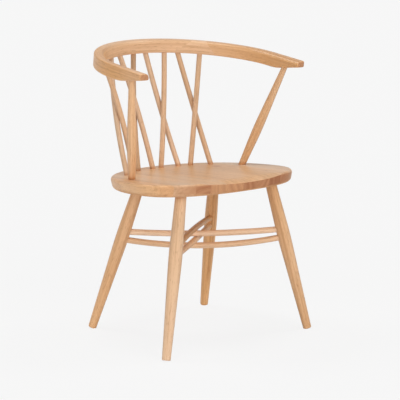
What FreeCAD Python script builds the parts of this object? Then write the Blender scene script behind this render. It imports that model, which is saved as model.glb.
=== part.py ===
# Dining armchair of pale hardwood: a staved seat on four splayed legs with crossed stretchers,
# a lattice back of bowed spindles, two arm posts, and one bent bow that is back rail and arms.
# Millimetres. Z is up, the sitter faces -Y and the sitter's left is +X.
import FreeCAD, Part
import os
from math import atan2, copysign, cos, degrees, hypot, radians, sin, sqrt, tan

V = FreeCAD.Vector

# Seat
SEAT_HEIGHT = 438.6          # upper face above the floor at mid-depth
SEAT_TILT = 2.9              # degrees, rear lower than front
SEAT_HALF_WIDTH = 246.5      # to the square corner, before the edges are rounded
SEAT_WIDEST_Y = -68.0        # where the seat is widest
SEAT_FRONT_Y = -232.5
SEAT_REAR_Y = 206.0
SEAT_FRONT_FULLNESS = 0.66   # 0.55 is an ellipse, more is squarer
SEAT_REAR_FULLNESS = 0.61
SEAT_THICKNESS = 32.2
SEAT_EDGE_DRAFT = 10.0       # degrees, the edge leans inward below
SEAT_LOWER_ROUND = 12.0
SEAT_UPPER_ROUND = 8.0
# Glue joints between the staves, as shares of the half width
STAVE_JOINTS = (-0.832, -0.641, -0.487, -0.296, -0.082, 0.109, 0.3, 0.491, 0.682, 0.873)
LIP_DROP = 9.2               # of the rolled front lip at the front edge
LIP_LENGTH = 45.0            # from the front edge back to where the lip leaves the flat top
LIP_START_SLOPE = 3.0        # degrees, where it leaves the flat top
LIP_MARGIN = 51.5            # from the seat's widest sides to the ends of the lip
LIP_SHOULDER = 77.0          # from an end of the lip to its full drop

# Legs
LEG_FRONT_FOOT_X = 250.0
LEG_FRONT_FOOT_Y = -193.5
LEG_FRONT_SEAT_X = 155.6     # where the axis meets the seat's underside
LEG_FRONT_SEAT_Y = -138.1
LEG_REAR_FOOT_X = 202.5
LEG_REAR_FOOT_Y = 193.5
LEG_REAR_SEAT_X = 133.1
LEG_REAR_SEAT_Y = 69.2
LEG_FOOT_RADIUS = 11.3
LEG_SWELL_RADIUS = 18.3
LEG_TOP_RADIUS = 14.6        # at the seat's underside
LEG_SWELL_HEIGHT = 264.0
LEG_SWELL_BLEND = 40.0
LEG_FOOT_ROUND = 2.0
LEG_FOOT_FLAT = 1.2          # height taken off the square-cut foot so that it stands flat
LEG_SOCKET_DEPTH = 18.0

# Stretchers
STRETCHER_RADIUS = 8.2
STRETCHER_REAR_HEIGHT = 278.5    # of the upper pair on the rear legs' axes
STRETCHER_FRONT_HEIGHT = 282.5   # of the upper pair on the front legs' axes
STRETCHER_PAIR_DROP = 21.5       # from the upper pair to the lower on a leg's axis
STRETCHER_STACK_HEIGHT = 263.2   # middle of the stack of four where they cross
STRETCHER_GAP = 0.4              # between neighbours in that stack

# Bow: back rail and arms in one tilted plane
BOW_HEIGHT = 732.3           # middle of the section at mid-depth
BOW_TILT = 7.75              # degrees, rear higher than front
BOW_WIDTH = 28.0
BOW_THICKNESS = 36.0
BOW_HALF_WIDTH = 269.5       # to the middle of an arm
BOW_REAR_Y = 234.0           # to the middle of the back
BOW_BEND_RATIO = 0.924       # depth of the bend, from where the arms start to turn, to the half width
BOW_SIDE_RATIO = 0.798       # radius at the sides to the half width
BOW_LEAN_ROUND = 11.5        # along the upper inner edge, where the sitter leans
BOW_EDGE_ROUND = 4.0         # along the other edges and round the arms' tips
ARM_TIP_CORNER = 10.0        # radius of a tip's outer corner in plan
ARM_TIP_Y = -138.0
ARM_TAPER_Y = -48.0          # where the underside turns up
ARM_TAPER_BLEND = 18.0
ARM_TAPER_ANGLE = 12.3       # degrees

# Arm posts
POST_SEAT_INSET = 53.0       # from the seat's widest side to where the axis meets the seat
POST_SEAT_Y = 19.0
POST_ARM_Y = -78.0           # where the axis meets the arm's underside
POST_ARM_INSET = 6.0         # from the arm's middle line inward
POST_FOOT_RADIUS = 9.6
POST_SWELL_RADIUS = 13.3
POST_TOP_RADIUS = 7.7
POST_SWELL_HEIGHT = 110.0    # along the axis from the seat
POST_SWELL_BLEND = 40.0
POST_SEAT_SOCKET = 20.0
POST_ARM_SOCKET = 20.0

# Back spindles, in crossing pairs
SPINDLE_RADIUS = 7.3
SPINDLE_GAP = 0.4            # where a pair crosses
SPINDLE_ROW_INSET = 47.0     # from the seat's rim to the row of sockets
SPINDLE_SEAT_SOCKET = 18.0
SPINDLE_BOW_SOCKET = 13.0
SPINDLE_TOP_INSET = 1.5      # from the bow's middle line inward, so that the socket ends inside the bow
INNER_FRONT_FOOT_X = 15.0
INNER_FRONT_TOP_X = 78.5
INNER_REAR_FOOT_X = 71.0
INNER_REAR_TOP_X = 20.5
OUTER_FRONT_FOOT_X = 102.0
OUTER_FRONT_TOP_X = 169.5
OUTER_REAR_FOOT_X = 146.5
OUTER_REAR_TOP_X = 116.0

GLUE_LINE = 0.1              # radial room round every tenon

SIDES = {"left": 1, "right": -1}
X_AXIS = V(1, 0, 0)
Z_AXIS = V(0, 0, 1)


# Shared geometry

def lengthwise(start, direction):
    """Placement that takes the Z axis to a line."""
    return FreeCAD.Placement(start, FreeCAD.Rotation(Z_AXIS, direction))


def bisect_root(function, low, high):
    """The place between low and high where a steady function passes zero."""
    rising = function(high) > function(low)
    for _ in range(60):
        middle = (low + high) / 2
        if (function(middle) > 0) == rising:
            high = middle
        else:
            low = middle
    return (low + high) / 2


def mirrored(point):
    return V(-point.x, point.y, point.z)


def corner_blend(corner, arriving, leaving, reach):
    """Start, middle and end of the arc that rounds a corner between two unit directions."""
    half_turn = arriving.getAngle(leaving) / 2
    radius = reach / tan(half_turn)
    inward = (leaving - arriving).normalize()
    middle = corner + inward * (radius * (1 / cos(half_turn) - 1))
    return corner - arriving * reach, middle, corner + leaving * reach


def turned(stations, blend, grow=0.0):
    """A double taper turned about Z from three (radius, height) stations, with a blended swelling."""
    foot, swell, top = [V(radius + grow, 0, height) for radius, height in stations]
    upward = (swell - foot).normalize()
    onward = (top - swell).normalize()
    blend_start, blend_middle, blend_end = corner_blend(swell, upward, onward, blend)
    foot_centre = V(0, 0, foot.z)
    top_centre = V(0, 0, top.z)
    edges = [
        Part.makeLine(foot_centre, foot),
        Part.makeLine(foot, blend_start),
        Part.Arc(blend_start, blend_middle, blend_end).toShape(),
        Part.makeLine(blend_end, top),
        Part.makeLine(top, top_centre),
        Part.makeLine(top_centre, foot_centre),
    ]
    return Part.Face(Part.Wire(edges)).revolve(V(), Z_AXIS, 360)


def bowed_rod(start, through, end, radius):
    """A round rod along the arc through three points."""
    arc = Part.Arc(start, through, end).toShape()
    circle = arc.Curve
    tangent = arc.tangentAt(arc.FirstParameter)
    disc = Part.Face(Part.Wire(Part.makeCircle(radius, start, tangent)))
    sweep = degrees(arc.LastParameter - arc.FirstParameter)
    return disc.revolve(circle.Center, circle.Axis, sweep)


# Seat

SEAT_PLACEMENT = FreeCAD.Placement(V(0, 0, SEAT_HEIGHT), FreeCAD.Rotation(X_AXIS, -SEAT_TILT))


def seat_quarter(side, end_y, fullness, inset=0.0):
    """Control points of the rim from the widest point on one side to the middle of the front or rear."""
    half_width = side * (SEAT_HALF_WIDTH - inset)
    reach = end_y - SEAT_WIDEST_Y
    reach -= copysign(inset, reach)
    end_y = SEAT_WIDEST_Y + reach
    return [
        V(half_width, SEAT_WIDEST_Y),
        V(half_width, SEAT_WIDEST_Y + fullness * reach),
        V(fullness * half_width, end_y),
        V(0, end_y),
    ]


def bezier(points):
    curve = Part.BezierCurve()
    curve.setPoles(points)
    return curve


def seat_point(x, y, depth=0.0):
    """A point of the seat, given in plan on its upper face and a depth below it."""
    return SEAT_PLACEMENT.multVec(V(x, y, -depth))


def spindle_foot(x):
    """The point of the upper face at x on the row of spindle sockets, inset from the rear rim."""
    rim = bezier(seat_quarter(1, SEAT_REAR_Y, SEAT_REAR_FULLNESS))

    def row_point(t):
        tangent = rim.tangent(t)[0]
        inward = V(-tangent.y, tangent.x, 0)
        return rim.value(t) + inward * SPINDLE_ROW_INSET

    t = bisect_root(lambda t: row_point(t).x - abs(x), 0.0, 1.0)
    side = 1 if x > 0 else -1
    return seat_point(side * row_point(t).x, row_point(t).y)


def seat_rim(inset, height):
    """The seat's outline in plan, drawn in all round by the inset."""
    quarters = [
        bezier(seat_quarter(side, end_y, fullness, inset)).toShape()
        for side, end_y, fullness in (
            (1, SEAT_REAR_Y, SEAT_REAR_FULLNESS),
            (-1, SEAT_REAR_Y, SEAT_REAR_FULLNESS),
            (-1, SEAT_FRONT_Y, SEAT_FRONT_FULLNESS),
            (1, SEAT_FRONT_Y, SEAT_FRONT_FULLNESS),
        )
    ]
    rim = Part.Wire(Part.__sortEdges__(quarters))
    rim.translate(V(0, 0, height))
    return rim


def seat_blank():
    """The seat board: its plan cut out with a leaning edge, rounded, and the front lip rolled over."""
    draw_in = SEAT_THICKNESS * tan(radians(SEAT_EDGE_DRAFT))
    board = Part.makeLoft([seat_rim(draw_in, -SEAT_THICKNESS), seat_rim(0, 0)], True, True)
    lower = [e for e in board.Edges if e.BoundBox.ZMax < -SEAT_THICKNESS / 2]
    board = board.makeFillet(SEAT_LOWER_ROUND, lower)
    upper = [e for e in board.Edges if e.BoundBox.ZMin > -SEAT_UPPER_ROUND / 2]
    board = board.makeFillet(SEAT_UPPER_ROUND, upper)
    return board.cut(lip_cutter())


def lip_cutter():
    """A trough with soft shoulders, swung forward and down over the front edge."""
    half_width = SEAT_HALF_WIDTH - LIP_MARGIN
    floor_half_width = half_width - LIP_SHOULDER
    start_slope = radians(LIP_START_SLOPE)
    half_arc = atan2(LIP_DROP, LIP_LENGTH) - start_slope
    roll_radius = hypot(LIP_DROP, LIP_LENGTH) / (2 * sin(half_arc))
    front_slope = start_slope + 2 * half_arc
    rise = LIP_DROP / cos(front_slope)
    half_rise = rise / 2
    shoulder = LIP_SHOULDER / 2
    floor_end = V(floor_half_width, 0, 0)
    turn = V(floor_half_width + shoulder, 0, half_rise)
    lip_end = V(half_width, 0, rise)
    shoulder_radius = (shoulder ** 2 + half_rise ** 2) / (2 * half_rise)
    sag = shoulder_radius - sqrt(shoulder_radius ** 2 - (shoulder / 2) ** 2)
    low_middle = V(floor_half_width + shoulder / 2, 0, sag)
    high_middle = V(half_width - shoulder / 2, 0, rise - sag)
    corner = V(half_width, 0, 2 * rise)
    edges = [
        Part.makeLine(mirrored(floor_end), floor_end),
        Part.Arc(floor_end, low_middle, turn).toShape(),
        Part.Arc(turn, high_middle, lip_end).toShape(),
        Part.makeLine(lip_end, corner),
        Part.makeLine(corner, mirrored(corner)),
        Part.makeLine(mirrored(corner), mirrored(lip_end)),
        Part.Arc(mirrored(lip_end), mirrored(high_middle), mirrored(turn)).toShape(),
        Part.Arc(mirrored(turn), mirrored(low_middle), mirrored(floor_end)).toShape(),
    ]
    trough = Part.Face(Part.Wire(edges))
    axis_y = SEAT_FRONT_Y + LIP_LENGTH + roll_radius * sin(start_slope)
    axis_z = -roll_radius * cos(start_slope)
    trough.translate(V(0, axis_y, axis_z + roll_radius))
    swing = degrees(front_slope + half_arc)
    return trough.revolve(V(0, axis_y, axis_z), X_AXIS, swing)


def seat_staves(seat):
    """The seat sawn along its glue joints, from the sitter's right to left."""
    box = seat.BoundBox
    joints = [share * SEAT_HALF_WIDTH for share in STAVE_JOINTS]
    cuts = [box.XMin, *joints, box.XMax]
    staves = []
    for right, left in zip(cuts, cuts[1:]):
        slab = Part.makeBox(left - right, box.YLength, box.ZLength, V(right, box.YMin, box.ZMin))
        staves.append(seat.common(slab))
    return staves


# Legs

def leg_line(row, side):
    """Where a leg's axis meets the floor and the seat's underside."""
    if row == "front":
        foot = V(side * LEG_FRONT_FOOT_X, LEG_FRONT_FOOT_Y, 0)
        x, y = LEG_FRONT_SEAT_X, LEG_FRONT_SEAT_Y
    else:
        foot = V(side * LEG_REAR_FOOT_X, LEG_REAR_FOOT_Y, 0)
        x, y = LEG_REAR_SEAT_X, LEG_REAR_SEAT_Y
    return foot, seat_point(side * x, y, SEAT_THICKNESS)


def leg_axis_point(row, side, height):
    foot, top = leg_line(row, side)
    return foot + (top - foot) * (height / top.z)


def turned_leg(row, side, grow=0.0):
    """A leg from its square-cut foot to the end of its tenon in the seat."""
    foot, top = leg_line(row, side)
    direction = (top - foot).normalize()
    lean = direction.getAngle(Z_AXIS)
    rounded_off = LEG_FOOT_ROUND * (cos(lean) + sin(lean) - 1)
    foot_end = (LEG_FOOT_RADIUS * sin(lean) - rounded_off - LEG_FOOT_FLAT) / cos(lean)
    seat_end = (top - foot).Length
    swell_at = LEG_SWELL_HEIGHT / cos(lean)
    taper = (LEG_SWELL_RADIUS - LEG_TOP_RADIUS) / (seat_end - swell_at)
    tip_radius = LEG_TOP_RADIUS - taper * LEG_SOCKET_DEPTH
    stations = [
        (LEG_FOOT_RADIUS, foot_end),
        (LEG_SWELL_RADIUS, swell_at),
        (tip_radius, seat_end + LEG_SOCKET_DEPTH),
    ]
    leg = turned(stations, LEG_SWELL_BLEND, grow)
    leg.Placement = lengthwise(foot, direction)
    return leg


def finished_leg(row, side):
    """A leg with its foot rounded and standing flat on the floor."""
    leg = turned_leg(row, side)
    rim = min(leg.Edges, key=lambda e: e.CenterOfMass.z)
    leg = leg.makeFillet(LEG_FOOT_ROUND, [rim])
    box = leg.BoundBox
    below_floor = Part.makeBox(box.XLength, box.YLength, -box.ZMin, V(box.XMin, box.YMin, box.ZMin))
    return leg.cut(below_floor)


# Stretchers

STRETCHER_PITCH = 2 * STRETCHER_RADIUS + STRETCHER_GAP

# Rear leg's side, drop below the upper pair, and place in the stack counted up from its middle
STRETCHERS = {
    "stretcher_rear_left_upper": (1, 0, 1.5),
    "stretcher_rear_right_upper": (-1, 0, 0.5),
    "stretcher_rear_left_lower": (1, STRETCHER_PAIR_DROP, -0.5),
    "stretcher_rear_right_lower": (-1, STRETCHER_PAIR_DROP, -1.5),
}


def stretcher(name, grow=0.0):
    """A rod from a rear leg's axis to the opposite front leg's, bowed to its place in the crossing."""
    side, drop, place = STRETCHERS[name]
    rear = leg_axis_point("rear", side, STRETCHER_REAR_HEIGHT - drop)
    front = leg_axis_point("front", -side, STRETCHER_FRONT_HEIGHT - drop)
    share = rear.x / (rear.x - front.x)
    crossing = rear + (front - rear) * share
    crossing.z = STRETCHER_STACK_HEIGHT + place * STRETCHER_PITCH
    return bowed_rod(rear, crossing, front, STRETCHER_RADIUS + grow)


# Bow

BOW_PLACEMENT = FreeCAD.Placement(V(0, 0, BOW_HEIGHT), FreeCAD.Rotation(X_AXIS, BOW_TILT))
BOW_SIDE_RADIUS = BOW_SIDE_RATIO * BOW_HALF_WIDTH
BOW_SIDE_CENTRE_X = BOW_HALF_WIDTH - BOW_SIDE_RADIUS
BOW_REACH = BOW_BEND_RATIO * BOW_HALF_WIDTH
BOW_SIDE_Y = BOW_REAR_Y - BOW_REACH
BOW_BACK_RADIUS = (BOW_SIDE_CENTRE_X ** 2 + BOW_REACH ** 2 - BOW_SIDE_RADIUS ** 2) / (
    2 * (BOW_REACH - BOW_SIDE_RADIUS)
)
BOW_BACK_CENTRE_Y = BOW_REAR_Y - BOW_BACK_RADIUS


def bow_line(offset):
    """Edges of the bow's plan at a distance outside its middle line, from the right tip to the left."""
    side_radius = BOW_SIDE_RADIUS + offset
    back_radius = BOW_BACK_RADIUS + offset
    side_centre = V(BOW_SIDE_CENTRE_X, BOW_SIDE_Y)
    back_centre = V(0, BOW_BACK_CENTRE_Y)
    join_direction = (side_centre - back_centre).normalize()
    half_way = (join_direction + X_AXIS).normalize()
    tip = V(BOW_HALF_WIDTH + offset, ARM_TIP_Y)
    bend = V(BOW_HALF_WIDTH + offset, BOW_SIDE_Y)
    middle = side_centre + half_way * side_radius
    join = side_centre + join_direction * side_radius
    rear = back_centre + V(0, back_radius)
    return [
        Part.makeLine(mirrored(tip), mirrored(bend)),
        Part.Arc(mirrored(bend), mirrored(middle), mirrored(join)).toShape(),
        Part.Arc(mirrored(join), rear, join).toShape(),
        Part.Arc(join, middle, bend).toShape(),
        Part.makeLine(bend, tip),
    ]


def bow_point(x, y, drop=0.0):
    """A point of the bow, given on its middle plane and a drop below it."""
    return BOW_PLACEMENT.multVec(V(x, y, -drop))


def spindle_top(x):
    """The point of the bow's underside at x on the row of spindle sockets."""
    back_radius = BOW_BACK_RADIUS - SPINDLE_TOP_INSET
    side_radius = BOW_SIDE_RADIUS - SPINDLE_TOP_INSET
    join = (V(BOW_SIDE_CENTRE_X, BOW_SIDE_Y) - V(0, BOW_BACK_CENTRE_Y)).normalize() * back_radius
    if abs(x) < join.x:
        y = BOW_BACK_CENTRE_Y + sqrt(back_radius ** 2 - x ** 2)
    else:
        y = BOW_SIDE_Y + sqrt(side_radius ** 2 - (abs(x) - BOW_SIDE_CENTRE_X) ** 2)
    return bow_point(x, y, BOW_THICKNESS / 2)


def bow_side_view():
    """Side view of the bow as an upright plate: straight on top, turned up under the arms."""
    half = BOW_THICKNESS / 2
    rear_y = BOW_REAR_Y + BOW_WIDTH
    angle = radians(ARM_TAPER_ANGLE)
    taper = V(0, ARM_TAPER_Y, -half)
    forward = V(0, -1, 0)
    rising = V(0, -cos(angle), sin(angle))
    blend_start, blend_middle, blend_end = corner_blend(taper, forward, rising, ARM_TAPER_BLEND)
    under_tip = taper + rising * ((ARM_TAPER_Y - ARM_TIP_Y) / cos(angle))
    tip = V(0, ARM_TIP_Y, half)
    rear_top = V(0, rear_y, half)
    rear_under = V(0, rear_y, -half)
    edges = [
        Part.makeLine(tip, rear_top),
        Part.makeLine(rear_top, rear_under),
        Part.makeLine(rear_under, blend_start),
        Part.Arc(blend_start, blend_middle, blend_end).toShape(),
        Part.makeLine(blend_end, under_tip),
        Part.makeLine(under_tip, tip),
    ]
    width = 2 * (BOW_HALF_WIDTH + BOW_WIDTH)
    plate = Part.Face(Part.Wire(edges)).extrude(V(width, 0, 0))
    plate.translate(V(-width / 2, 0, 0))
    return plate


def bow_blank():
    """The bent bow before its sockets are bored: plan and side view together, all edges rounded."""
    outer = bow_line(BOW_WIDTH / 2)
    inner = bow_line(-BOW_WIDTH / 2)
    ends = [
        Part.makeLine(o.Vertexes[end].Point, i.Vertexes[end].Point)
        for o, i, end in ((outer[0], inner[0], 0), (outer[-1], inner[-1], 1))
    ]
    plan = Part.Face(Part.Wire(Part.__sortEdges__(outer + inner + ends)))
    slab = plan.extrude(V(0, 0, BOW_THICKNESS))
    slab.translate(V(0, 0, -BOW_THICKNESS / 2))
    bow = slab.common(bow_side_view()).removeSplitter()
    upright = [e for e in sharp_edges(bow) if at_arm_tip(e) and e.BoundBox.XLength < BOW_WIDTH / 2]
    bow = bow.makeFillet(ARM_TIP_CORNER, [e for e in upright if on_outside(e)])
    on_top = [e for e in sharp_edges(bow) if e.BoundBox.ZMin > BOW_THICKNESS / 4]
    bow = bow.makeFillet(BOW_LEAN_ROUND, [e for e in on_top if not on_outside(e) and not at_arm_tip(e)])
    bow = bow.makeFillet(BOW_EDGE_ROUND, sharp_edges(bow))
    bow.Placement = BOW_PLACEMENT
    return bow


def on_outside(edge):
    """True for the edges along the bow's outer side, before it is tilted."""
    middle = edge.valueAt((edge.FirstParameter + edge.LastParameter) / 2)
    outline = Part.Wire(bow_line(BOW_WIDTH / 2))
    return outline.distToShape(Part.Vertex(middle.x, middle.y, 0))[0] < BOW_WIDTH / 2


def at_arm_tip(edge):
    """True for the edges round the end of an arm, before the bow is tilted."""
    return edge.BoundBox.YMax < ARM_TIP_Y + ARM_TIP_CORNER / 2


def runs_smoothly(edge, solid):
    """True where the two faces beside an edge meet with no corner."""
    first, second = solid.ancestorsOfType(edge, Part.Face)
    middle = edge.valueAt((edge.FirstParameter + edge.LastParameter) / 2)
    normals = [face.normalAt(*face.Surface.parameter(middle)) for face in (first, second)]
    return normals[0].getAngle(normals[1]) < radians(1)


def sharp_edges(solid):
    return [e for e in solid.Edges if not runs_smoothly(e, solid)]


# Arm posts and spindles

def arm_post(side, grow=0.0):
    """A post from its tenon in the seat to its tenon in the arm."""
    foot = seat_point(side * (SEAT_HALF_WIDTH - POST_SEAT_INSET), POST_SEAT_Y)
    top = arm_underside(side, POST_ARM_Y)
    direction = (top - foot).normalize()
    length = (top - foot).Length
    lower_taper = (POST_SWELL_RADIUS - POST_FOOT_RADIUS) / POST_SWELL_HEIGHT
    upper_taper = (POST_SWELL_RADIUS - POST_TOP_RADIUS) / (length - POST_SWELL_HEIGHT)
    stations = [
        (POST_FOOT_RADIUS - lower_taper * POST_SEAT_SOCKET, -POST_SEAT_SOCKET),
        (POST_SWELL_RADIUS, POST_SWELL_HEIGHT),
        (POST_TOP_RADIUS - upper_taper * POST_ARM_SOCKET, length + POST_ARM_SOCKET),
    ]
    post = turned(stations, POST_SWELL_BLEND, grow)
    post.Placement = lengthwise(foot, direction)
    return post


def arm_underside(side, y):
    """The point of an arm's turned-up underside that a post's axis meets at y."""
    rise = max(0.0, ARM_TAPER_Y - y) * tan(radians(ARM_TAPER_ANGLE))
    return bow_point(side * (BOW_HALF_WIDTH - POST_ARM_INSET), y, BOW_THICKNESS / 2 - rise)


def crossing_pair(front_x, rear_x):
    """Three points for each of two crossing spindles; the first bows forward and the second back."""
    chords = []
    for foot_x, top_x in (front_x, rear_x):
        foot = spindle_foot(foot_x)
        top = spindle_top(top_x)
        along = (top - foot).normalize()
        chords.append((foot - along * SPINDLE_SEAT_SOCKET, top + along * SPINDLE_BOW_SOCKET))
    (front_foot, front_top), (rear_foot, rear_top) = chords
    crossing_line = (front_top - front_foot).cross(rear_top - rear_foot).normalize()
    if crossing_line.y > 0:
        crossing_line = crossing_line * -1
    front_edge = Part.makeLine(front_foot, front_top)
    rear_edge = Part.makeLine(rear_foot, rear_top)
    on_front, on_rear = front_edge.distToShape(rear_edge)[1][0]
    middle = (on_front + on_rear) * 0.5
    apart = crossing_line * (SPINDLE_RADIUS + SPINDLE_GAP / 2)
    return (front_foot, middle + apart, front_top), (rear_foot, middle - apart, rear_top)


def spindle_arcs():
    """The arcs of all eight spindles by name, counted from the sitter's right to left."""
    arcs = {}
    pairs = [
        ((INNER_FRONT_FOOT_X, INNER_FRONT_TOP_X), (INNER_REAR_FOOT_X, INNER_REAR_TOP_X)),
        ((OUTER_FRONT_FOOT_X, OUTER_FRONT_TOP_X), (OUTER_REAR_FOOT_X, OUTER_REAR_TOP_X)),
    ]
    for side in SIDES.values():
        for front_x, rear_x in pairs:
            front, rear = crossing_pair([side * x for x in front_x], [side * x for x in rear_x])
            arcs[front[0].x] = front
            arcs[rear[0].x] = rear
    return {f"back_spindle_{i}": arcs[x] for i, x in enumerate(sorted(arcs), 1)}


# Assembly

def build():
    """Every piece by name, with the sockets bored."""
    pieces = {}
    seat_borers = []
    bow_borers = []
    for name, arc in spindle_arcs().items():
        pieces[name] = bowed_rod(*arc, SPINDLE_RADIUS)
        borer = bowed_rod(*arc, SPINDLE_RADIUS + GLUE_LINE)
        seat_borers.append(borer)
        bow_borers.append(borer)
    for side_name, side in SIDES.items():
        pieces[f"arm_post_{side_name}"] = arm_post(side)
        borer = arm_post(side, GLUE_LINE)
        seat_borers.append(borer)
        bow_borers.append(borer)
        for row in ("front", "rear"):
            pieces[f"leg_{row}_{side_name}"] = finished_leg(row, side)
            seat_borers.append(turned_leg(row, side, GLUE_LINE))
    for name in STRETCHERS:
        pieces[name] = stretcher(name)
        borer = stretcher(name, GLUE_LINE)
        rear_side = STRETCHERS[name][0]
        for row, side in (("rear", rear_side), ("front", -rear_side)):
            leg_name = "leg_{}_{}".format(row, "left" if side > 0 else "right")
            pieces[leg_name] = pieces[leg_name].cut(borer)
    pieces["arm_bow"] = bow_blank().cut(bow_borers)
    seat = seat_blank()
    seat.Placement = SEAT_PLACEMENT
    seat = seat.cut(seat_borers)
    for i, stave in enumerate(seat_staves(seat), 1):
        pieces[f"seat_stave_{i:02d}"] = stave
    return pieces


def main():
    pieces = build()
    box = Part.makeCompound(list(pieces.values())).optimalBoundingBox(False)
    to_origin = V(-(box.XMin + box.XMax) / 2, -(box.YMin + box.YMax) / 2, -box.ZMin)
    os.makedirs("parts", exist_ok=True)
    for name, shape in pieces.items():
        shape = shape.Solids[0]
        shape.translate(to_origin)
        shape.exportStep(f"parts/{name}.step")
    print(len(pieces), "pieces, size", [round(n, 1) for n in (box.XLength, box.YLength, box.ZLength)])
    print("moved to the origin by", [round(n, 2) for n in to_origin])


main()
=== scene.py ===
# %% [markdown]
# # A pale wooden armchair
# The chair is all wood: a seat glued up from staves, turned legs, thin bent rods under the seat and in
# the back, and one bow that is the back rail and both arms. Its solids are already right, so this lesson
# keeps them and spends its effort on the wood: where the grain runs in each piece, how the growth rings
# cut the surface, and how the light falls on a satin finish.

# %% Load the frame
import random
from math import atan2, cos, degrees, pi, radians, sin

import bpy
import numpy as np
from mathutils import Matrix, Vector


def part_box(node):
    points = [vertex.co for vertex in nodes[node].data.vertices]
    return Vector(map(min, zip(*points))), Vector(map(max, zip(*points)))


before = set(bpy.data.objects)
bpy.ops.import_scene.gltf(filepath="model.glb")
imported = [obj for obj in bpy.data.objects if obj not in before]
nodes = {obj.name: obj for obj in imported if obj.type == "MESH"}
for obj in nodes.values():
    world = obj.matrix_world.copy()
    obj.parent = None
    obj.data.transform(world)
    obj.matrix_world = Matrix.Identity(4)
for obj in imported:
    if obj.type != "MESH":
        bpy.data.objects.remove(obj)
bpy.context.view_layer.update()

# %% [markdown]
# ## Camera
# The picture was taken from some four metres away with a long lens, from the sitter's right and a little
# above the seat. A long lens keeps upright lines nearly parallel. The camera could be dragged into place by
# eye. Here it is placed by a turn round the chair, a height angle and a distance from the point it looks at,
# because those three can be judged one by one. The lamps below are placed by the same two angles.

# %% Camera
VIEW_TURN = -39.95
VIEW_RISE = 10.37
VIEW_DISTANCE = 4.1816
VIEW_LENS = 138.19
LOOKED_AT = Vector((0.02496, -0.00829, 0.35898))


def direction(turn, rise):
    """The way to something seen from the chair; both angles in degrees, turn 0 is straight in front."""
    turn, rise = radians(turn), radians(rise)
    return Vector((sin(turn) * cos(rise), -cos(turn) * cos(rise), sin(rise)))


towards_camera = direction(VIEW_TURN, VIEW_RISE)
bpy.ops.object.select_all(action="DESELECT")
bpy.ops.object.camera_add(
    location=LOOKED_AT + towards_camera * VIEW_DISTANCE,
    rotation=towards_camera.to_track_quat("Z", "Y").to_euler(),
)
camera = bpy.context.object
camera.data.lens = VIEW_LENS
bpy.context.scene.camera = camera
bpy.context.scene.view_settings.view_transform = "Standard"
print("camera at", [round(n, 3) for n in camera.location])

# %% [markdown]
# ## Shader expressions
# A wood pattern is a long sum of small terms. It could be wired up node by node, but that would be hard to
# read, so a small class stands for a wire between nodes. Wires and numbers can be added and multiplied as
# in any formula, and each sign adds one Math node. Every other node comes from the method add. A shader
# works with amounts of light and not with the values of a screen, so colours are converted.

# %% Wires between nodes
class Wire:
    """An output of a node. Formulas of wires and numbers add Math nodes."""

    def __init__(self, tree, socket):
        self.tree = tree
        self.socket = socket

    @classmethod
    def add(cls, tree, kind, settings=None, sockets=None, out=0):
        """Adds a node: first its settings, then the values or links of its sockets."""
        node = tree.nodes.new(kind)
        for key, value in (settings or {}).items():
            setattr(node, key, value)
        for key, value in (sockets or {}).items():
            if isinstance(value, cls):
                tree.links.new(value.socket, node.inputs[key])
            else:
                node.inputs[key].default_value = value
        if node.outputs:
            return cls(tree, node.outputs[out])

    def math(self, operation, first, second=0.0):
        return self.add(self.tree, "ShaderNodeMath", {"operation": operation}, {0: first, 1: second})

    def __add__(self, other):
        return self.math("ADD", self, other)

    def __sub__(self, other):
        return self.math("SUBTRACT", self, other)

    def __rsub__(self, other):
        return self.math("SUBTRACT", other, self)

    def __mul__(self, other):
        return self.math("MULTIPLY", self, other)

    def __truediv__(self, other):
        return self.math("DIVIDE", self, other)

    def __pow__(self, other):
        return self.math("POWER", self, other)

    def __abs__(self):
        return self.math("ABSOLUTE", self)

    def __lt__(self, other):
        return self.math("LESS_THAN", self, other)

    __radd__ = __add__
    __rmul__ = __mul__

    def rise(self, low, high):
        """0 below low, 1 above high and a soft step between."""
        settings = {"interpolation_type": "SMOOTHSTEP"}
        sockets = {"Value": self, "From Min": low, "From Max": high}
        return self.add(self.tree, "ShaderNodeMapRange", settings, sockets)

    def swing(self, width):
        """A noise, which stays about 0.5, as a swing to either side of 0."""
        return (self - 0.5) * width

    def split(self):
        """The three parts of a vector."""
        return [self.add(self.tree, "ShaderNodeSeparateXYZ", None, {0: self}, i) for i in range(3)]


# %% Empty materials and screen colours
def blank_material(name):
    """A material with an empty node tree."""
    material = bpy.data.materials.new(name)
    material.use_nodes = True
    material.node_tree.nodes.clear()
    return material


def linear(red, green, blue):
    """A colour as seen on a screen, 0 to 255, as the light values that a shader works in."""
    shares = [part / 255 for part in (red, green, blue)]
    return (*[s / 12.92 if s <= 0.04045 else ((s + 0.055) / 1.055) ** 2.4 for s in shares], 1.0)


print("half of white on a screen is", round(linear(128, 128, 128)[0], 3), "of its light")

# %% [markdown]
# ## Floor
# The chair stands on a plain pale floor that runs back out of view. The picture hardly shows a shadow, so
# the floor is mostly its own flat colour to the camera, and only partly a lit surface: the chair's shadow
# stays, but faint. Brighter lamps would bleach the floor too, but they would also bleach the chair.

# %% Floor
FLOOR_SIZE = 80.0
FLOOR_TONE = linear(240, 240, 240)
BACKDROP = 0.945
FLAT_SHARE = 0.9


def ray_kind(tree, kind):
    """1 for rays of the named kind and 0 for the others."""
    return Wire.add(tree, "ShaderNodeLightPath", None, None, f"Is {kind} Ray")


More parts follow.
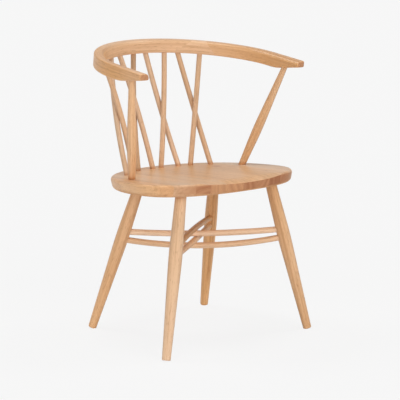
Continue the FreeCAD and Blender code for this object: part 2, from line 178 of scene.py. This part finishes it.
floor_finish = blank_material("studio_floor")
tree = floor_finish.node_tree
lit = Wire.add(tree, "ShaderNodeBsdfDiffuse", None, {"Color": FLOOR_TONE})
flat = Wire.add(tree, "ShaderNodeEmission", None, {"Color": (BACKDROP, BACKDROP, BACKDROP, 1.0)})
flat_share = ray_kind(tree, "Camera") * FLAT_SHARE
mixed = Wire.add(tree, "ShaderNodeMixShader", None, {0: flat_share, 1: lit, 2: flat})
Wire.add(tree, "ShaderNodeOutputMaterial", None, {"Surface": mixed})

bpy.ops.object.select_all(action="DESELECT")
bpy.ops.mesh.primitive_plane_add(size=FLOOR_SIZE)
floor = bpy.context.object
floor.name = "studio_floor"
floor.data.materials.append(floor_finish)
print("floor", FLOOR_SIZE, "m wide")

# %% [markdown]
# ## Light
# The light is that of a white studio. Two wide, low lamps, in front of the chair and on the sitter's right,
# light what the camera sees. The one in front is the stronger, so that each rod is darker on its left.
# Three small, high lamps, overhead, behind and on the sitter's left, draw the bright line along the rounded
# edge of the bow. Only they show in reflections, because a wide, low lamp would lie on the seat as a white
# glare when it is seen from behind. The room adds little light. To the eye it has the tone of the floor, so
# that no horizon shows, and in reflections it is dimmer, so that the satin finish doesn't look milky.

# %% Room
ROOM_TONE = 0.92
ROOM_LIGHT = 0.08
ROOM_SHEEN = 0.65

room = bpy.data.worlds.new("studio_room")
room.use_nodes = True
tree = room.node_tree
tree.nodes.clear()
strength = ray_kind(tree, "Camera") * (ROOM_TONE - ROOM_LIGHT) + ROOM_LIGHT
strength = strength + ray_kind(tree, "Glossy") * (ROOM_SHEEN - ROOM_LIGHT)
sockets = {"Color": (1.0, 1.0, 1.0, 1.0), "Strength": strength}
background = Wire.add(tree, "ShaderNodeBackground", None, sockets)
Wire.add(tree, "ShaderNodeOutputWorld", None, {"Surface": background})
bpy.context.scene.world = room
print("room: seen", ROOM_TONE, "lighting", ROOM_LIGHT, "in reflections", ROOM_SHEEN)

# %% Lamps
LAMPS = {  # turn and rise in degrees, strength, and how wide the lamp is, in degrees
    "lamp_overhead": (0, 89, 0.85, 24),
    "lamp_right": (74, 49, 0.45, 16),
    "lamp_behind": (-152, 54, 0.65, 20),
    "lamp_front": (-2, 16, 1.64, 52),
    "lamp_side": (-74, 16, 1.0, 46),
}
LAMP_DISTANCE = 3  # only to keep it off the chair: sunlight is the same from any distance
LOW_LAMP = 30

for name, (turn, rise, energy, width) in LAMPS.items():
    towards_lamp = direction(turn, rise)
    bpy.ops.object.light_add(
        type="SUN",
        location=towards_lamp * LAMP_DISTANCE,
        rotation=towards_lamp.to_track_quat("Z", "Y").to_euler(),
    )
    lamp = bpy.context.object
    lamp.name = name
    lamp.data.energy = energy
    lamp.data.angle = radians(width)
    lamp.visible_glossy = rise > LOW_LAMP
print("lamps:", ", ".join(LAMPS))

# %% [markdown]
# ## Where the grain runs
# Wood is not a skin: the pattern goes through the whole piece and the surface only cuts it. So the
# pattern is worked out in a space of the piece's own, with x and y across the trunk and z along it. For a
# turned leg or a rod that space could be typed in by hand. Here it is found from the mesh itself, so that
# it is right for every rod: the middles of its two ends give the direction, and the middle of a bent rod
# tells how far it bows, so that the grain bends with it.

# %% The middle line of a rod
END_SHARE = 0.06


def middle_line(name, bowed):
    """Both ends of a rod's middle line, and how far it bows between them."""
    points = np.array([v.co for v in nodes[name].data.vertices])
    spread = points - points.mean(axis=0)
    axis = np.linalg.svd(spread, full_matrices=False)[2][0]
    along = spread @ axis
    length = along.max() - along.min()

    def section_middle(level):
        near = points[abs(along - level) < END_SHARE * length]
        return Vector((near.min(axis=0) + near.max(axis=0)) / 2)

    start, end = section_middle(along.min()), section_middle(along.max())
    if not bowed:
        return start, end, Vector()
    middle = section_middle((along.min() + along.max()) / 2)
    bow = middle - (start + end) / 2
    line = (end - start).normalized()
    return start, end, bow - line * bow.dot(line)


start, end, _ = middle_line("leg_front_right", False)
upright = Vector((0, 0, end.z - start.z))
print("the nearest leg leans", round(degrees((end - start).angle(upright)), 1), "degrees")


# %% The place in the wood
def lay_along(tree, start, end, bow=Vector()):
    """The place in the wood of a piece that runs from start to end, with the bow taken out."""
    z = (end - start).normalized()
    x = bow.normalized() if bow.length > 0 else z.orthogonal().normalized()
    turn = Matrix((x, z.cross(x), z))
    place = Wire.add(tree, "ShaderNodeTexCoord", None, None, "Object")
    sockets = {"Vector": place, "Rotation": turn.to_euler(), "Location": turn @ -start}
    place = Wire.add(tree, "ShaderNodeMapping", {"vector_type": "POINT"}, sockets)
    if bow.length == 0:
        return place
    across, thick, along = place.split()
    share = along / (end - start).length
    straight = across - share * (1 - share) * (4 * bow.length)  # a parabola, bow.length high halfway
    return Wire.add(tree, "ShaderNodeCombineXYZ", None, {0: straight, 1: thick, 2: along})


def reach_along(tree, output, line):
    """How far a texture coordinate, such as the place or the surface normal, goes along a line."""
    coordinate = Wire.add(tree, "ShaderNodeTexCoord", None, None, output)
    sockets = {0: coordinate, 1: line}
    return Wire.add(tree, "ShaderNodeVectorMath", {"operation": "DOT_PRODUCT"}, sockets, "Value")


def end_grain(tree, fibres, least, most):
    """1 where the surface cuts across the fibres, 0 where it runs along them."""
    return abs(reach_along(tree, "Normal", fibres)).rise(least, most)


# %% [markdown]
# ## The wood
# The wood is a pale hardwood with a clear satin finish. Year by year the trunk adds a ring that ends in a
# thin darker line, and some years are darker than others. Between the lines run fine fibres, and short dark
# dashes lie along them. Slow changes from gold to a paler rose show that no two pieces are alike.
# End grain drinks more of the finish and is darker and redder. An image of wood would only be a skin, so
# all of it is mixed from noises in the piece's own space, stretched along the grain.

# %% Tones of the wood
GOLD = linear(228, 171, 108)
PALE = linear(235, 202, 171)
CUT_PALE = linear(208, 155, 112)
CUT_DARK = linear(166, 106, 70)
STREAK = (0.74, 0.65, 0.56, 1.0)
DASH = (0.62, 0.5, 0.42, 1.0)
# the tint of dark marks in the wood and of painted shade
MARK_AND_SHADE_TINT = (0.62, 0.34, 0.14, 1.0)
MIX_FACTOR, MIX_FIRST, MIX_SECOND, MIX_COLOUR = 0, 6, 7, 2  # the other sockets are for numbers and vectors


def tinted(factor, first, second, blend="MIX"):
    """A colour between two colours, or with MULTIPLY a colour stained by the second."""
    settings = {"data_type": "RGBA", "blend_type": blend}
    sockets = {MIX_FACTOR: factor, MIX_FIRST: first, MIX_SECOND: second}
    return Wire.add(factor.tree, "ShaderNodeMix", settings, sockets, MIX_COLOUR)


print("golden wood as light:", [round(part, 3) for part in GOLD[:3]])

# %% Noises in the wood
NOISES = {  # patches per metre across and along the grain, a shift of its own, and detail
    "waver": (14, 2.2, 0, 2.0),
    "bands": (60, 1.6, 3, 2.0),
    "streaks": (190, 4.5, 5, 3.0),
    "fibres": (900, 16, 9, 2.0),
    "dashes": (430, 60, 13, 2.0),
    "drift": (8, 1.8, 21, 2.0),
    "fray": (260, 20, 31, 2.0),
}
NOISE_STEPS = (1.0, 1.7, 2.3)
NOISE_ROUGHNESS = 0.55


def grain_noise(place, name, shift=0.0):
    """One of the noises, stretched along the grain and shifted to another place in it."""
    across, along, own_shift, detail = NOISES[name]
    shifts = [(shift + own_shift) * step for step in NOISE_STEPS]
    sockets = {0: place, 1: (across, across, along), 2: shifts}
    stretched = Wire.add(place.tree, "ShaderNodeVectorMath", {"operation": "MULTIPLY_ADD"}, sockets)
    sockets = {"Vector": stretched, "Scale": 1.0, "Detail": detail, "Roughness": NOISE_ROUGHNESS}
    return Wire.add(place.tree, "ShaderNodeTexNoise", None, sockets)


print("noises:", ", ".join(NOISES))

# %% Rings of the years
RING_WIDTH = 0.0034
RING_WAVER = 0.02
PITH_AWAY = (0.035, 0.11)
LATE_WOOD_POWER = 3
YEAR_END = 0.93
YEAR_PACE = 0.37
draws = random.Random(11)


def year_rings(place, shift):
    """How dark the wood has grown within its ring, and how dark the year of that ring is."""
    pith_turn = draws.uniform(0, 2 * pi)
    pith_away = draws.uniform(*PITH_AWAY)
    pith_x, pith_y = pith_away * cos(pith_turn), pith_away * sin(pith_turn)
    across, thick, _ = place.split()
    reach = ((across - pith_x) ** 2 + (thick - pith_y) ** 2) ** 0.5
    years = (reach + grain_noise(place, "waver", shift).swing(RING_WAVER)) / RING_WIDTH
    season = years.math("FRACT", years)
    late_wood = season ** LATE_WOOD_POWER * (1 - season.rise(YEAR_END, 1.0))
    sockets = {"W": years * YEAR_PACE + shift, "Scale": 1.0, "Detail": 1.0}
    dark_years = Wire.add(place.tree, "ShaderNodeTexNoise", {"noise_dimensions": "1D"}, sockets)
    return late_wood, dark_years


print("rings:", RING_WIDTH * 1000, "mm wide")

# %% [markdown]
# ## The finish
# Here the noises become a surface. A stain collects all that darkens the long grain, and the end grain has a
# stain of its own. The finish is thin, so the fibres still show in its sheen: they vary the roughness, and a
# faint bump follows them. A coat on top of the shader could give the sheen too, but one satin layer is enough
# for an oiled or matt-varnished chair. The figure is how strong the bands and streaks are in one piece.

# %% Clear-finished wood
SHIFT_MOST = 40
STAIN = {"late_wood": 0.55, "dark_years": 0.3, "bands": 1.1, "streaks": 1.2, "fibres": 0.7}
STAIN_RANGE = (-0.5, 1.0)
CUT_STAIN = {"late_wood": 0.5, "dark_years": 0.7, "fibres": 0.4}
RELIEF = {"late_wood": 0.35, "fibres": 0.5, "dashes": 0.4}
DRIFT_DEPTH = 0.7
DASH_EDGE = (0.57, 0.7)
DASH_DEPTH = 0.5
FIBRE_ROUGHNESS = 0.16
CUT_ROUGHNESS = 0.3
BUMP = {"Strength": 0.12, "Distance": 0.0002}


def finish_wood(place, cut, marks_and_painted_shade, brightness, paleness, cut_depth, figure, satin, gloss):
    """Fills in a material of clear-finished wood; cut masks its end grain, and the mask after it its dark
    marks and painted shade.
    """
    tree = place.tree
    shift = draws.uniform(0, SHIFT_MOST)
    late_wood, dark_years = year_rings(place, shift)
    bands = grain_noise(place, "bands", shift)
    streaks = grain_noise(place, "streaks", shift)
    fibres = grain_noise(place, "fibres", shift)
    dashes = grain_noise(place, "dashes", shift).rise(*DASH_EDGE)
    drift = grain_noise(place, "drift", shift)

    stain = late_wood * dark_years * STAIN["late_wood"] + dark_years.swing(STAIN["dark_years"])
    stain = stain + (bands.swing(STAIN["bands"]) + streaks.swing(STAIN["streaks"])) * figure
    stain = stain + fibres.swing(STAIN["fibres"])
    colour = tinted(drift.swing(DRIFT_DEPTH) + paleness, GOLD, PALE)
    colour = tinted(stain.rise(*STAIN_RANGE), colour, STREAK, "MULTIPLY")
    colour = tinted(dashes * DASH_DEPTH, colour, DASH, "MULTIPLY")
    cut_stain = late_wood * CUT_STAIN["late_wood"] + dark_years.swing(CUT_STAIN["dark_years"])
    cut_stain = cut_stain + fibres.swing(CUT_STAIN["fibres"]) + cut_depth
    colour = tinted(cut, colour, tinted(cut_stain, CUT_PALE, CUT_DARK))
    # dark marks of the wood and painted shade darken the colour with one tint
    if marks_and_painted_shade is not None:
        colour = tinted(marks_and_painted_shade, colour, MARK_AND_SHADE_TINT, "MULTIPLY")
    colour = Wire.add(tree, "ShaderNodeHueSaturation", None, {"Value": brightness, "Color": colour})

    roughness = satin + fibres.swing(FIBRE_ROUGHNESS) + cut * CUT_ROUGHNESS
    relief = late_wood * RELIEF["late_wood"] + fibres * RELIEF["fibres"] - dashes * RELIEF["dashes"]
    normal = Wire.add(tree, "ShaderNodeBump", None, {**BUMP, "Height": relief})
    sockets = {"Base Color": colour, "Roughness": roughness, "Normal": normal, "Specular IOR Level": gloss}
    surface = Wire.add(tree, "ShaderNodeBsdfPrincipled", None, sockets)
    Wire.add(tree, "ShaderNodeOutputMaterial", None, {"Surface": surface})


def new_wood(name):
    """Gives a piece of the chair a material of its own, still empty."""
    material = blank_material(f"wood_{name}")
    nodes[name].material_slots[0].material = material
    return material.node_tree


print("the long grain is stained by", ", ".join(STAIN))

# %% [markdown]
# ## Legs, posts and rods
# Each turned piece and each rod gets a material of its own, because its grain has its own direction. One
# shared material would be less work, but its grain would run askew in most of them. The loop reads the
# direction from the mesh. Each piece has its own tone, a brightness and a paleness, as the picture shows:
# the nearest leg is paler than the others. The rear right stretchers are made brighter and paler as painted
# light from below, and the upper rear left one darker as painted shade under the seat. The legs and posts
# also have a figure of their own. Where a piece enters the seat, painted shade darkens it, as the seat
# shades it there. Two of the legs show no such dark ring and are left out.

# %% Tones of the legs, posts and rods
TONES = {  # brightness and paleness
    "arm_post_left": (0.935, 0.41),
    "arm_post_right": (1.06, 0.49),
    "back_spindle_1": (0.86, 0.87),
    "back_spindle_2": (0.935, 0.7),
    "back_spindle_3": (0.835, 0.76),
    "back_spindle_4": (1.0, 0.9),
    "back_spindle_5": (0.995, 0.65),
    "back_spindle_6": (1.0, 0.9),
    "back_spindle_7": (0.915, 0.71),
    "back_spindle_8": (0.9, 0.72),
    "leg_front_left": (0.98, 0.41),
    "leg_front_right": (0.98, 0.7),
    "leg_rear_left": (0.995, 0.29),
    "leg_rear_right": (1.06, 0.47),
    # the rear right stretchers are brighter and paler as painted light from below, rear left upper darker as
    # painted shade
    "stretcher_rear_left_lower": (1.0, 0.46),
    "stretcher_rear_left_upper": (0.78, 0.0),
    "stretcher_rear_right_lower": (1.06, 0.7),
    "stretcher_rear_right_upper": (1.15, 1.05),
}
FIGURES = {
    "arm_post_left": 2.2,
    "arm_post_right": 2.2,
    "leg_front_left": 2.0,
    "leg_front_right": 2.5,
    "leg_rear_left": 2.9,
    "leg_rear_right": 1.2,
}
ROD_FIGURE = 1.7
print("turned pieces and rods:", len(TONES))

# %% Wood of the legs, posts and rods
SEAT_TILT = radians(2.9)
SEAT_MIDDLE = Vector((0, -0.00829, 0.4386))
SEAT_THICKNESS = 0.0322
SEAT_UP = Vector((0, sin(SEAT_TILT), cos(SEAT_TILT)))
SHADED_REACH = 0.012
SHADED_DEPTH = 0.65
UNSHADED = ("leg_front_left", "leg_rear_right")
BOWED = ("back_spindle", "stretcher")
ROD_CUT = (0.45, 0.9)
TURNED_FINISH = {"cut_depth": 0.5, "satin": 0.38, "gloss": 0.4}


def painted_seat_shade(tree):
    """Painted shade on a piece where it enters the seat, from above or below."""
    height = reach_along(tree, "Object", SEAT_UP) - SEAT_MIDDLE.dot(SEAT_UP)
    gap = height.math("MAXIMUM", height, -SEAT_THICKNESS - height)
    return (1 - gap.rise(0.0, SHADED_REACH)) * SHADED_DEPTH


for name, (brightness, paleness) in TONES.items():
    start, end, bow = middle_line(name, name.startswith(BOWED))
    tree = new_wood(name)
    place = lay_along(tree, start, end, bow)
    cut = end_grain(tree, (end - start).normalized(), *ROD_CUT)
    # painted shade where the piece enters the seat, left off the legs in UNSHADED
    marks_and_painted_shade = None if name in UNSHADED else painted_seat_shade(tree)
    figure = FIGURES.get(name, ROD_FIGURE)
    finish_wood(place, cut, marks_and_painted_shade, brightness, paleness, figure=figure, **TURNED_FINISH)
    print(name, "runs", round((end - start).length, 3), "m and bows", round(bow.length, 4))

# %% [markdown]
# ## Marks in the seat
# Two small dark marks show on the seat, as small knots leave them. They could be painted on an image, but a
# mark that belongs to the wood follows its grain. So each is a place and a radius, drawn out from front to
# back, and a noise of the stave's own frays its edge along the fibres.

# %% Marks in the seat
KNOTS = [  # place, radius and depth
    ((0.124, 0.043, 0.436), 0.017, 0.8),
    ((0.14, -0.147, 0.4456), 0.011, 0.5),
]
KNOT_SHAPE = Vector((1.0, 0.45, 1.0))
KNOT_FRAY = 0.03


def knots(tree, place):
    """How dark the marks make the seat's upper face."""
    spot = Wire.add(tree, "ShaderNodeTexCoord", None, None, "Object")
    fray = grain_noise(place, "fray").swing(KNOT_FRAY)
    marks = 0
    for middle, radius, depth in KNOTS:
        sockets = {0: spot, 1: KNOT_SHAPE, 2: -Vector(middle) * KNOT_SHAPE}
        away = Wire.add(tree, "ShaderNodeVectorMath", {"operation": "MULTIPLY_ADD"}, sockets)
        away = Wire.add(tree, "ShaderNodeVectorMath", {"operation": "LENGTH"}, {0: away}, "Value")
        marks = marks + (1 - (away + fray).rise(0.0, radius)) * depth
    return marks


print("marks in the seat:", len(KNOTS))

# %% [markdown]
# ## Seat staves
# The staves run from front to back, so the front edge of the seat shows end grain and the sides show long
# grain. Each stave comes from another board. On the front edge the tones change from block to block, and
# that is what tells the eye that the seat is glued up. One wood for the whole seat would hide the joints, so
# each stave has its own and three values: how bright and how pale its face is, and how dark its cut end.
# The edge between the face and the cut end is a little darker. The underside has painted shade and is also
# duller.

# %% Seat staves
STAVE_TONES = [  # brightness, paleness and depth of the cut end
    (1.09, 0.46, 0.0), (0.99, 0.74, 0.3), (1.0, 0.62, 0.62), (0.98, 0.49, 0.15), (1.02, 0.45, 0.25),
    (1.0, 0.38, 0.65), (1.0, 0.38, 0.5), (0.935, 0.33, 0.88), (0.97, 0.46, 0.65), (0.945, 0.74, 0.75),
    (0.83, 0.78, 0.9),
]
STAVE_FINISH = {"figure": 1.45, "gloss": 0.4}
STAVE_SATIN = 0.36
STAVE_CUT = (0.66, 0.96)
ARRIS_START, ARRIS_END = (0.35, 0.55), (0.75, 0.95)
ARRIS_DEPTH = 0.25
BELOW_EDGE = (-0.75, -0.2)
BELOW_SHADE_DEPTH = 0.15
BELOW_ROUGHNESS = 0.4

stave_run = Vector((0, cos(SEAT_TILT), -sin(SEAT_TILT)))
for number, (brightness, paleness, cut_depth) in enumerate(STAVE_TONES, 1):
    name = f"seat_stave_{number:02d}"
    low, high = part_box(name)
    start = (low + high) / 2 - stave_run * (high.y - low.y) / 2
    tree = new_wood(name)
    place = lay_along(tree, start, start + stave_run * (high.y - low.y))
    cut = end_grain(tree, stave_run, *STAVE_CUT)
    below = 1 - reach_along(tree, "Normal", SEAT_UP).rise(*BELOW_EDGE)
    arris = end_grain(tree, stave_run, *ARRIS_START) * (1 - end_grain(tree, stave_run, *ARRIS_END))
    # painted shade on the underside, a darker arris and the knot marks
    marks_and_painted_shade = below * BELOW_SHADE_DEPTH + arris * ARRIS_DEPTH + knots(tree, place)
    satin = STAVE_SATIN + below * BELOW_ROUGHNESS
    finish_wood(place, cut, marks_and_painted_shade, brightness, paleness, cut_depth, satin=satin, **STAVE_FINISH)
print("staves:", len(STAVE_TONES))

# %% [markdown]
# ## The bow's own line
# The bow follows one line round the chair, so its grain runs round the bend. A straight pattern would cut
# through it as if it had been sawn from a plank. The place in the wood is therefore measured along the
# bow's own line: first the tilt is taken out, then each point gets a length along two arms, two side
# arcs and the back arc, and a distance outside that line.

# %% The bow's own line
BOW_TILT = radians(7.75)
BOW_PIVOT = Vector((0, -0.00829, 0.7323))
BOW_HALF_WIDTH = 0.2695
BOW_REAR = 0.234
BEND_DEPTH = 0.924 * BOW_HALF_WIDTH
SIDE_RADIUS = 0.798 * BOW_HALF_WIDTH
SIDE_CENTRE = BOW_HALF_WIDTH - SIDE_RADIUS
BEND_START = BOW_REAR - BEND_DEPTH
BACK_RADIUS = (SIDE_CENTRE ** 2 + BEND_DEPTH ** 2 - SIDE_RADIUS ** 2) / (2 * (BEND_DEPTH - SIDE_RADIUS))
BACK_CENTRE = BOW_REAR - BACK_RADIUS
SIDE_TURN = atan2(BEND_START - BACK_CENTRE, SIDE_CENTRE)
BACK_TURN = pi / 2 - SIDE_TURN
ARM_TIP = -0.134


def bow_place(tree):
    """How far outside the bow's line a point is, how high, how far along, and whether at an arm's tip."""
    place = Wire.add(tree, "ShaderNodeTexCoord", None, None, "Object")
    untilt = Matrix.Rotation(-BOW_TILT, 3, "X")
    sockets = {"Vector": place, "Rotation": untilt.to_euler(), "Location": untilt @ -BOW_PIVOT}
    x, y, height = Wire.add(tree, "ShaderNodeMapping", {"vector_type": "POINT"}, sockets).split()
    aside = abs(x)
    from_back = (aside ** 2 + (y - BACK_CENTRE) ** 2) ** 0.5
    back_turn = aside.math("ARCTAN2", aside, y - BACK_CENTRE)
    past_bend = y.math("MAXIMUM", y - BEND_START, 0.0)
    from_side = ((aside - SIDE_CENTRE) ** 2 + past_bend ** 2) ** 0.5
    side_turn = y.math("ARCTAN2", past_bend, aside - SIDE_CENTRE)
    before_bend = y.math("MINIMUM", y - BEND_START, 0.0)
    in_back = back_turn < BACK_TURN
    back_along = back_turn * BACK_RADIUS
    side_along = (SIDE_TURN - side_turn) * SIDE_RADIUS - before_bend + BACK_TURN * BACK_RADIUS
    along = (side_along + (back_along - side_along) * in_back) * x.math("SIGN", x)
    outward = from_side - SIDE_RADIUS
    outward = outward + (from_back - BACK_RADIUS - outward) * in_back
    return outward, height, along, y < ARM_TIP


print("bow: back radius", round(BACK_RADIUS, 4), "side radius", round(SIDE_RADIUS, 4))

# %% [markdown]
# ## Wood of the bow
# On the sitter's left two slanting changes of tone show, as where lengths of wood are glued together. They
# could be cut into the solid, but nothing tells how deep they go, so the wood alone shows them: past each of
# them the place is shifted, so that the rings don't run on, and the tone changes. The tone also drifts
# slowly along the bow, and each drift has a start and an end.

# %% Wood of the bow
BOW_BRIGHTNESS = 1.06
BOW_PALENESS = 0.35
BOW_FINISH = {"cut_depth": 0.3, "figure": 1.75, "satin": 0.34, "gloss": 0.5}
BOW_JOINTS = [  # place along the bow, slant, shift outwards and upwards, how much brighter and paler
    (0.127, -1.7, 0.05, 0.0, -0.02, 0.08),
    (0.215, 0.9, 0.0, 0.04, -0.02, -0.2),
]
JOINT_WIDTH = 0.002
BOW_DRIFT = [  # start and end along the bow, how much brighter and paler
    (-0.5, -0.4, -0.05, -0.2),
    (-0.26, -0.12, 0.06, 0.44),
    (0.2, 0.42, -0.05, -0.22),
]

tree = new_wood("arm_bow")
outward, height, along, at_tip = bow_place(tree)
wood_out, wood_up, brightness, paleness = outward, height, BOW_BRIGHTNESS, BOW_PALENESS
for joint, slant, out, up, brighter, paler in BOW_JOINTS:
    past_joint = (along + height * slant).rise(joint, joint + JOINT_WIDTH)
    wood_out, wood_up = wood_out + past_joint * out, wood_up + past_joint * up
    brightness, paleness = brightness + past_joint * brighter, paleness + past_joint * paler
for start, end, brighter, paler in BOW_DRIFT:
    drifted = along.rise(start, end)
    brightness, paleness = brightness + drifted * brighter, paleness + drifted * paler
place = Wire.add(tree, "ShaderNodeCombineXYZ", None, {0: wood_out, 1: wood_up, 2: along})
arm_run = Vector((0, cos(BOW_TILT), sin(BOW_TILT)))
cut = end_grain(tree, arm_run, *ROD_CUT) * at_tip
finish_wood(place, cut, None, brightness, paleness, **BOW_FINISH)
print("bow: joints", len(BOW_JOINTS), "drifts", len(BOW_DRIFT))
